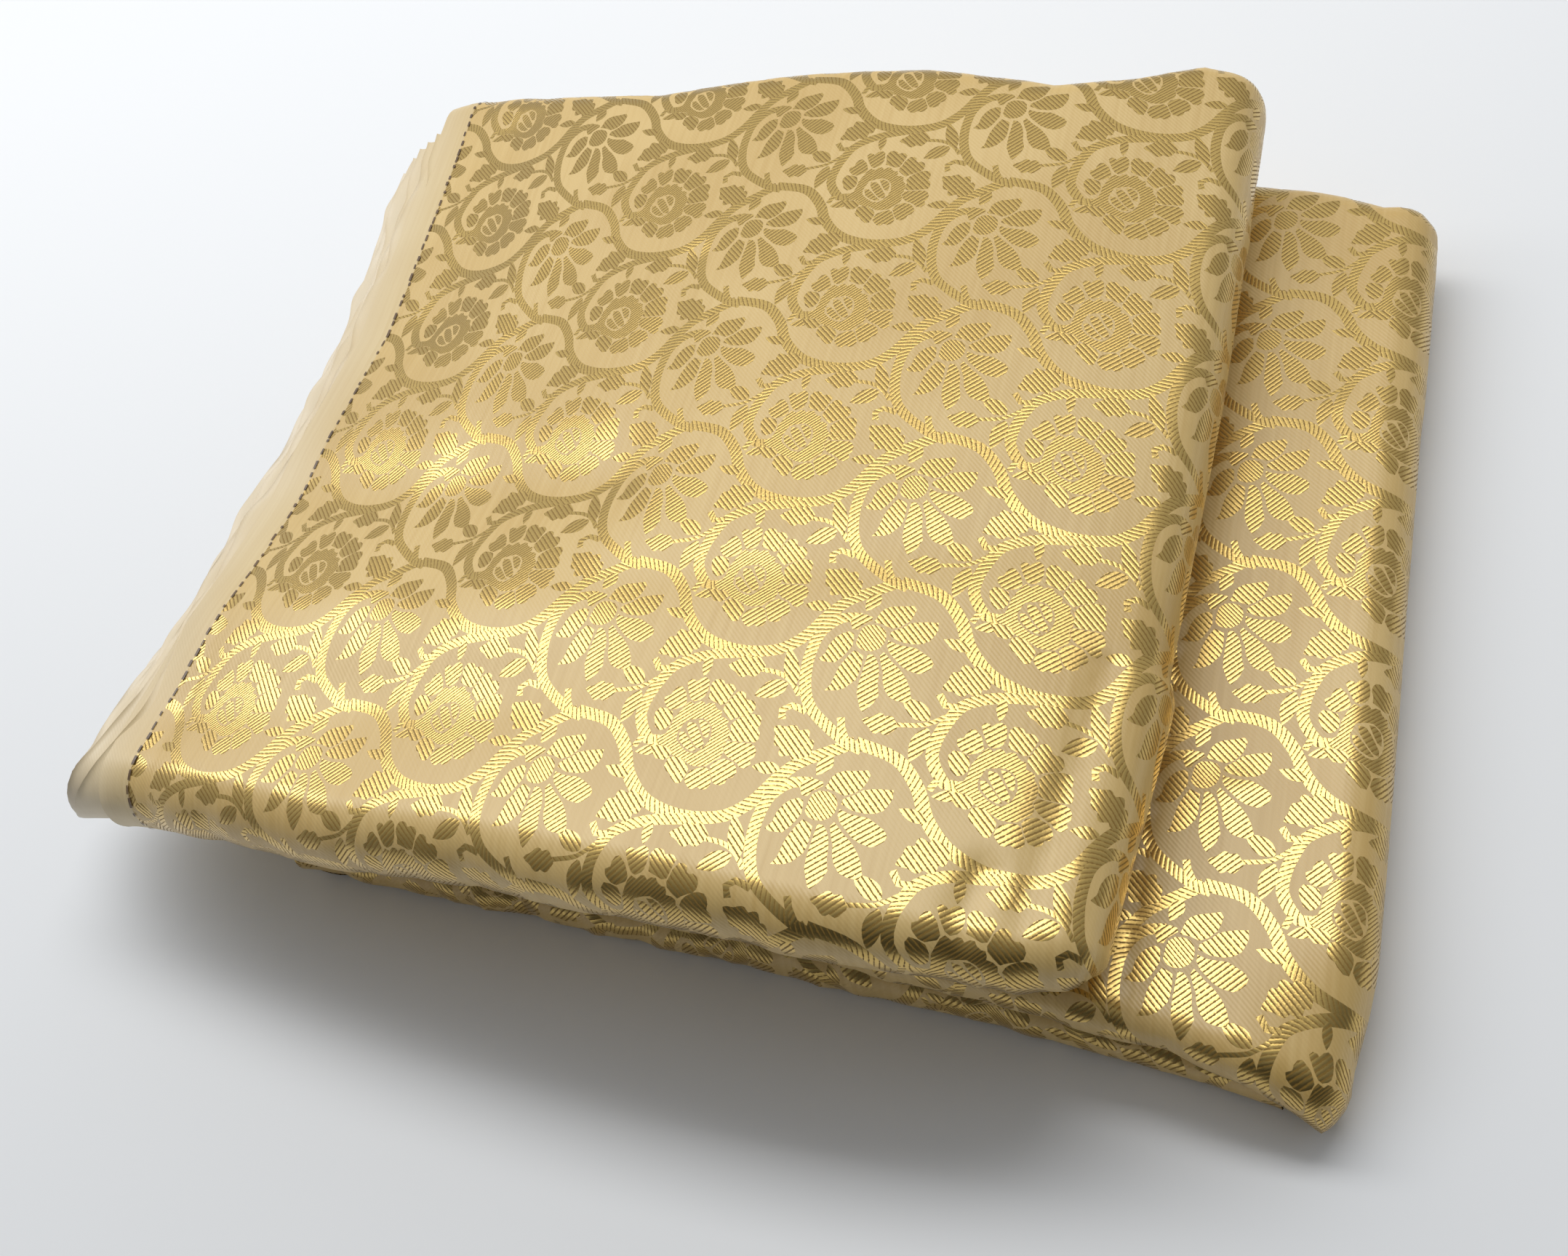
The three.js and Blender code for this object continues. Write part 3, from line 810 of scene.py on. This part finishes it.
def left_fold_surface(a, y):
    """The rounded left-hand fold between the tiers, counted from under it to over it."""
    pile = pile_height(np.full_like(y, left_fold_x), y)
    half = pile * left_fold_share
    quarter = 1.25 * half
    phi = np.clip(a / quarter, -1, 1) * np.pi / 2
    tail = np.maximum(np.abs(a) - quarter, 0)
    return np.column_stack([left_fold_x - left_fold_reach * np.cos(phi) + tail, y,
                            pile * 0.5 + half * np.sin(phi)])


inner = []
for number, (rows, side) in enumerate(((turn_front, -1), (turn_back, 1))):
    strip = woven_flat(f"turn_{number}", turn_left, turn_right, -turn_width / 2, turn_width / 2,
                       shift=(7.0, 12.0 * number))
    lay_cloth(strip, edge_roll(rows, side), turned=side > 0)
    inner.append(strip)
strip = woven_flat("left_fold", -left_fold_width / 2, left_fold_width / 2, left_fold_front,
                   left_fold_back, shift=(11.0, 4.0))
lay_cloth(strip, left_fold_surface)
inner.append(strip)
inner_folds = join_cloth("inner_folds", inner)
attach(inner_folds, "root")
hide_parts("folded_cloth")


# Bottom layer: the last turn of the length, right side out, flat on the surface it rests on. Its
# front and back are rolled up, and its left edge ends short of the inner fold.
bottom_left, bottom_right = 56.0, 334.0
bottom_front, bottom_back = -290.0, 20.0
bottom_shift = (-9.0, 8.0)    # of the pattern
bottom_height, bottom_floor = 0.6, 0.3      # of its flat part, and the least anywhere
bottom_fold_x, bottom_fold_radius = 400.0, 6.0      # past its right edge: it has no fold there
bottom_front_rows = {"x": [50, 150, 250, 310, 334],
                     "start": [-236, -243, -251.5, -259.5, -264],
                     "radius": [7.4, 8.3, 8, 6.2, 6]}
bottom_back_rows = {"x": [50, 150, 250, 334], "start": [-6, -5, -8, -20], "radius": [7.5, 8, 8, 6]}


def bottom_surface(x, y):
    """The underside, wrapped as if it were a top and then turned upside down."""
    def top(px, py):
        return np.full_like(px, -bottom_height)
    points, outward, gone = rolled(x, y, top, bottom_fold_x, bottom_fold_radius,
                                   bottom_front_rows, bottom_back_rows)
    lift = (gathers(x, gone, seed=12, pitch=10, rise=1.3)
            + 0.8 * gathers(x, gone, seed=13, pitch=26, rise=1.4))
    points = (points + outward * lift[:, None]) * (1, 1, -1)
    points[:, 2] = np.maximum(points[:, 2], bottom_floor)
    return points


bottom_mesh = woven_flat("bottom_cloth", bottom_left, bottom_right, bottom_front, bottom_back,
                         bottom_shift)
lay_cloth(bottom_mesh, bottom_surface)
bottom_cloth = bpy.data.objects.new("bottom_cloth", bottom_mesh)
bpy.context.scene.collection.objects.link(bottom_cloth)
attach(bottom_cloth, "root")
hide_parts("folded_cloth")


# Selvedges: the plain edges of the layers in the upper tier. They lie one in another round the
# front roll, and each stands out a little past the one above, thin, wavy and drooping.
selvedge_layers = [           # how deep in the roll, and where its edge lies above and below
    {"deep": 1.0, "above": 31.0, "below": -12.0},
    {"deep": 2.4, "above": 23.5, "below": -9.5},
    {"deep": 4.4, "above": 19.0, "below": -7.0},
    {"deep": 6.4, "above": 13.0, "below": -4.0},
    {"deep": 8.6, "above": 8.5, "below": -0.5},
    {"deep": 10.8, "above": 5.0, "below": 2.5},
]
selvedge_inner_x = 44.0       # the strips end here, under the upper cloth
selvedge_roll = 13.0          # radius of the roll that they lie in
selvedge_top_run, selvedge_under_run = 250.0, 236.0
selvedge_lip, lip_width = 0.9, 1.1          # the very edge curls up a little
edge_waves = ((96, 1.7), (41, 1.0), (19, 0.45))         # pitch and height, in plan
edge_ripples = ((70, 0.9), (31, 0.5))       # pitch and height, up and down,
ripple_from, ripple_reach = 45, 30          # growing outward over this width
selvedge_floor = 1.0


def selvedge_mesh(layer, seed):
    """One layer's strip of selvedge, from the back over the top, round the front and under."""
    dice = np.random.default_rng(seed)
    radius = selvedge_roll - layer["deep"]
    top_run, round_run = selvedge_top_run, np.pi * radius
    total = top_run + round_run + selvedge_under_run
    rows, columns = 190, 16
    gone = np.linspace(0, total, rows)[:, None] * np.ones(columns)
    share = np.linspace(0, 1, columns) ** 1.7 * np.ones((rows, 1))
    lower = ease(gone, top_run - 15, top_run + round_run + 15)
    edge = layer["above"] + (layer["below"] - layer["above"]) * lower
    for pitch, height in edge_waves:
        edge = edge + height * np.sin(2 * np.pi * gone / pitch + dice.uniform(0, 6.3))
    x = edge + (selvedge_inner_x - edge) * share
    front = np.interp(x, front_roll_rows["x"], front_roll_rows["start"])
    back = front + top_run
    phi = np.clip((gone - top_run) / radius, 0, np.pi)
    past = np.maximum(gone - top_run - round_run, 0)
    y = np.where(gone < top_run, back - gone, front - radius * np.sin(phi) + past)
    level = np.where(gone < top_run, 0.0, radius * (1 - np.cos(phi)))
    held_y = np.maximum(y, front)
    pull = np.interp(held_y, left_wave_rows["y"], left_wave_rows["across"])
    ripple = sum(height * np.sin(2 * np.pi * gone / pitch + dice.uniform(0, 6.3))
                 for pitch, height in edge_ripples)
    ripple = (ripple * np.clip((ripple_from - x) / ripple_reach, 0, 1)
              + selvedge_lip * np.exp(-(x - edge) / lip_width))
    z = (pile_height(x, held_y) + crease_rise(x + pull, held_y, creases) - selvedge_droop(x)
         - layer["deep"] - level + ripple)
    points = np.stack([x + pull, y, np.maximum(z, selvedge_floor)], axis=-1)
    points = (points + loom_to_frame) / 1000
    mesh = bpy.data.meshes.new("selvedge_layer")
    number = np.arange(rows * columns).reshape(rows, columns)
    quads = np.stack([number[:-1, :-1], number[1:, :-1], number[1:, 1:], number[:-1, 1:]], -1)
    mesh.from_pydata(points.reshape(-1, 3).tolist(), [], quads.reshape(-1, 4).tolist())
    weave = mesh.uv_layers.new(name="weave")
    loops = np.zeros(len(mesh.loops), int)
    mesh.loops.foreach_get("vertex_index", loops)
    flat = np.stack([x, -gone], -1).reshape(-1, 2)[loops] / 1000
    weave.data.foreach_set("uv", flat.ravel())
    mesh.polygons.foreach_set("use_smooth", [True] * len(mesh.polygons))
    mesh.materials.append(selvedge_satin)
    return mesh


selvedges = join_cloth("selvedges", [selvedge_mesh(layer, 40 + number)
                                     for number, layer in enumerate(selvedge_layers)])
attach(selvedges, "root")
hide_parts("folded_cloth")


# Dashed thread: a dark weft-faced stitch that marks where the patterned ground meets the plain
# selvedge, loosely and unevenly woven in.
stitch_pitch = 3.9
stitch_wide, stitch_long = 0.95, 2.3
stitch_start, stitches_short = 14.0, 6      # it begins and ends short of the cloth's cut edges
stitch_rise = 0.25            # over the cloth
stitch_aside = (0.0004, 0.0008, 0.0)        # metres, how far a stitch may lie off its place
stitch_shares = ((0.6, 0.35, 1.0), (1.1, 1.3, 1.0))     # least and most of the full size


def stitch_tree():
    """Short flat stitches along a line, uneven in length and place."""
    tree = bpy.data.node_groups.new("stitches", "GeometryNodeTree")
    face = tree.interface
    for label, kind in (("Line", "Geometry"), ("Count", "Int"), ("Pitch", "Float"),
                        ("Wide", "Float"), ("Long", "Float"), ("Thread", "Material")):
        face.new_socket(label, in_out="INPUT", socket_type="NodeSocket" + kind)
    face.new_socket("Stitches", in_out="OUTPUT", socket_type="NodeSocketGeometry")
    given = add(tree, "NodeGroupInput").outputs
    step = add(tree, "ShaderNodeCombineXYZ", Y=given["Pitch"])
    line = add(tree, "GeometryNodeMeshLine", Count=given["Count"], Offset=step.outputs[0])
    aside = add(tree, "FunctionNodeRandomValue", {"data_type": "FLOAT_VECTOR"},
                i0=tuple(-size for size in stitch_aside), i1=stitch_aside, Seed=5)
    moved = add(tree, "GeometryNodeSetPosition", Geometry=line.outputs[0], Offset=aside.outputs[0])
    stitch = add(tree, "GeometryNodeMeshGrid", Size_X=given["Wide"], Size_Y=given["Long"],
                 Vertices_X=3, Vertices_Y=5)
    uneven = add(tree, "FunctionNodeRandomValue", {"data_type": "FLOAT_VECTOR"},
                 i0=stitch_shares[0], i1=stitch_shares[1], Seed=6)
    laid = add(tree, "GeometryNodeInstanceOnPoints", Points=moved.outputs[0],
               Instance=stitch.outputs[0], Scale=uneven.outputs[0])
    real = add(tree, "GeometryNodeRealizeInstances", Geometry=laid.outputs[0])
    dark = add(tree, "GeometryNodeSetMaterial", Geometry=real.outputs[0], Material=given["Thread"])
    add(tree, "NodeGroupOutput", Stitches=dark.outputs[0])
    return tree


brown_thread = satin_material("brown_silk_thread", "#6E4E1E", "#4E3410", twill=0.2)
stitch_count = int((upper_back - upper_front) / stitch_pitch) - stitches_short
stitch_mesh = made_by(stitch_tree(), "edge_stitches", bpy.data.meshes.new("line"), {
    "Count": stitch_count, "Pitch": stitch_pitch / 1000, "Wide": stitch_wide / 1000,
    "Long": stitch_long / 1000, "Thread": brown_thread})
stitch_mesh.transform(Matrix.Translation((pattern_edge / 1000, (upper_front + stitch_start) / 1000, 0)))
lay_cloth(stitch_mesh, lambda x, y: upper_surface(x, y, rise=stitch_rise))
edge_stitches = bpy.data.objects.new("edge_stitches", stitch_mesh)
bpy.context.scene.collection.objects.link(edge_stitches)
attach(edge_stitches, "root")
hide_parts("folded_cloth")


# Studio: a plain pale table, one broad soft light overhead towards the back left, and a pale room
# that is brighter on that side. The light's place was set to give the photo's bands.
table_reach = 3.0             # metres from the middle to its edges
softbox_place, softbox_aim = Vector((-0.75, 0.41, 1.05)), Vector((-0.75, 0.41, 0.0))
softbox_size, softbox_watts = (2.7, 0.34), 15.5
bright_side = (-0.40, 0.85, 0.34)
room_glow = (0.05, 0.60)      # least and most, away from the bright side and towards it

floor_mesh = bpy.data.meshes.new("table_top")
corners = [(x * table_reach, y * table_reach, 0) for x, y in ((-1, -1), (1, -1), (1, 1), (-1, 1))]
floor_mesh.from_pydata(corners, [], [(0, 1, 2, 3)])
floor = bpy.data.objects.new("table_top", floor_mesh)
bpy.context.scene.collection.objects.link(floor)
pale = bpy.data.materials.new("matt_white_laminate")
pale.use_nodes = True
pale.node_tree.nodes["Principled BSDF"].inputs["Base Color"].default_value = linear("#F1F3F5")
pale.node_tree.nodes["Principled BSDF"].inputs["Roughness"].default_value = 0.8
floor_mesh.materials.append(pale)

room = bpy.data.worlds.new("room")
room.use_nodes = True
around = add(room.node_tree, "ShaderNodeTexCoord")
toward = add(room.node_tree, "ShaderNodeVectorMath", {"operation": "DOT_PRODUCT"},
             i0=around.outputs["Generated"], i1=bright_side)
glow = add(room.node_tree, "ShaderNodeMapRange", Value=toward.outputs["Value"],
           From_Min=-0.5, From_Max=0.6, To_Min=room_glow[0], To_Max=room_glow[1])
backdrop = room.node_tree.nodes["Background"]
backdrop.inputs["Color"].default_value = linear("#F4F6F8")
room.node_tree.links.new(glow.outputs[0], backdrop.inputs["Strength"])
bpy.context.scene.world = room

lamp = bpy.data.lights.new("overhead_softbox", "AREA")
lamp.shape = "RECTANGLE"
lamp.size, lamp.size_y = softbox_size
lamp.energy = softbox_watts
softbox = bpy.data.objects.new("overhead_softbox", lamp)
softbox.location = softbox_place
softbox.rotation_euler = (softbox_aim - softbox_place).to_track_quat("-Z", "Y").to_euler()
bpy.context.scene.collection.objects.link(softbox)

# The camera stands where the photograph was taken, by a fit to the points of the pattern.
camera_place = (0.2031, -0.2582, 0.3700)
across = Vector((0.9149, 0.2564, -0.3119))
upward = Vector((-0.0437, 0.8309, 0.5549))
view = bpy.data.cameras.new("view")
view.sensor_width = 36.0
view.lens = 37.62
camera = bpy.data.objects.new("view", view)
camera.matrix_world = Matrix.Translation(camera_place) @ Matrix(
    (across, upward, across.cross(upward))).transposed().to_4x4()
bpy.context.scene.collection.objects.link(camera)
bpy.context.scene.camera = camera
bpy.context.scene.view_settings.view_transform = "Standard"
